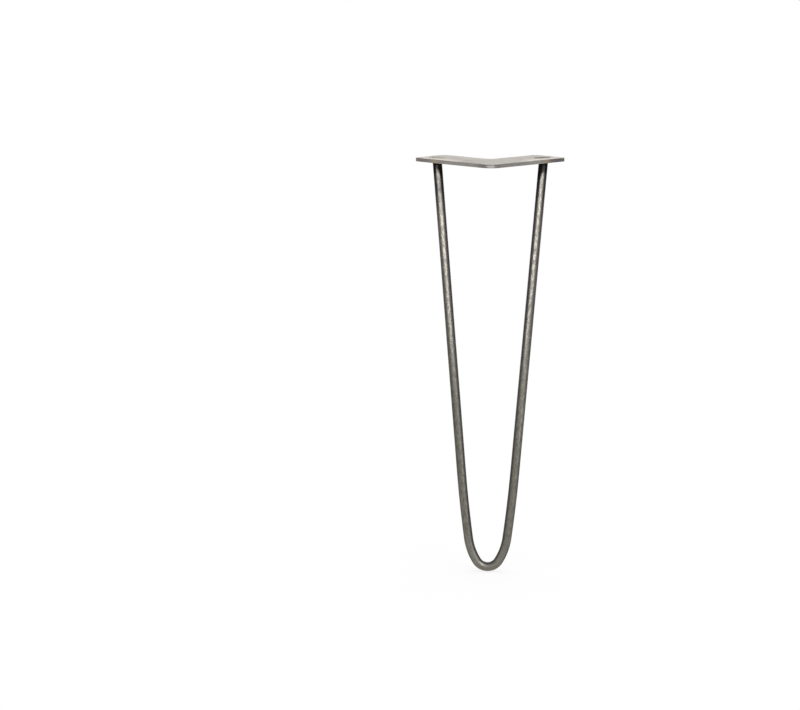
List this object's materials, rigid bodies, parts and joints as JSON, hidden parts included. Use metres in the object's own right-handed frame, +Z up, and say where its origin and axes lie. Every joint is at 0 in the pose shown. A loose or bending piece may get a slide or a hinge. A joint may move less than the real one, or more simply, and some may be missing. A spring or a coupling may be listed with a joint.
{
  "type": "hairpin table leg",
  "caption": "Steel hairpin table leg: a round bar bent into a narrow V and welded under an angled, slotted plate that screws to the underside of a table top.",
  "frame": {"origin": "on the table face of the plate, where the centre lines of its two arms cross", "axes": "+Z up, out of the table face; -Y towards the plate's outer corner; X across, with the leg symmetric about X = 0; the foot is at the lowest Z"},
  "size_m": [0.1614, 0.1082, 0.45],
  "materials": {
    "plate_steel": "raw mill-finish sheet, oiled, with heat tint at the welds",
    "rod_steel": "raw drawn bar, dull grey, mottled, with fine marks along its length",
    "weld_metal": "raw weld bead"
  },
  "bodies": {
    "root": {"mounting_plate": "plate_steel", "hairpin_rod": "rod_steel", "weld_left": "weld_metal", "weld_right": "weld_metal"}
  },
  "joints": []
}
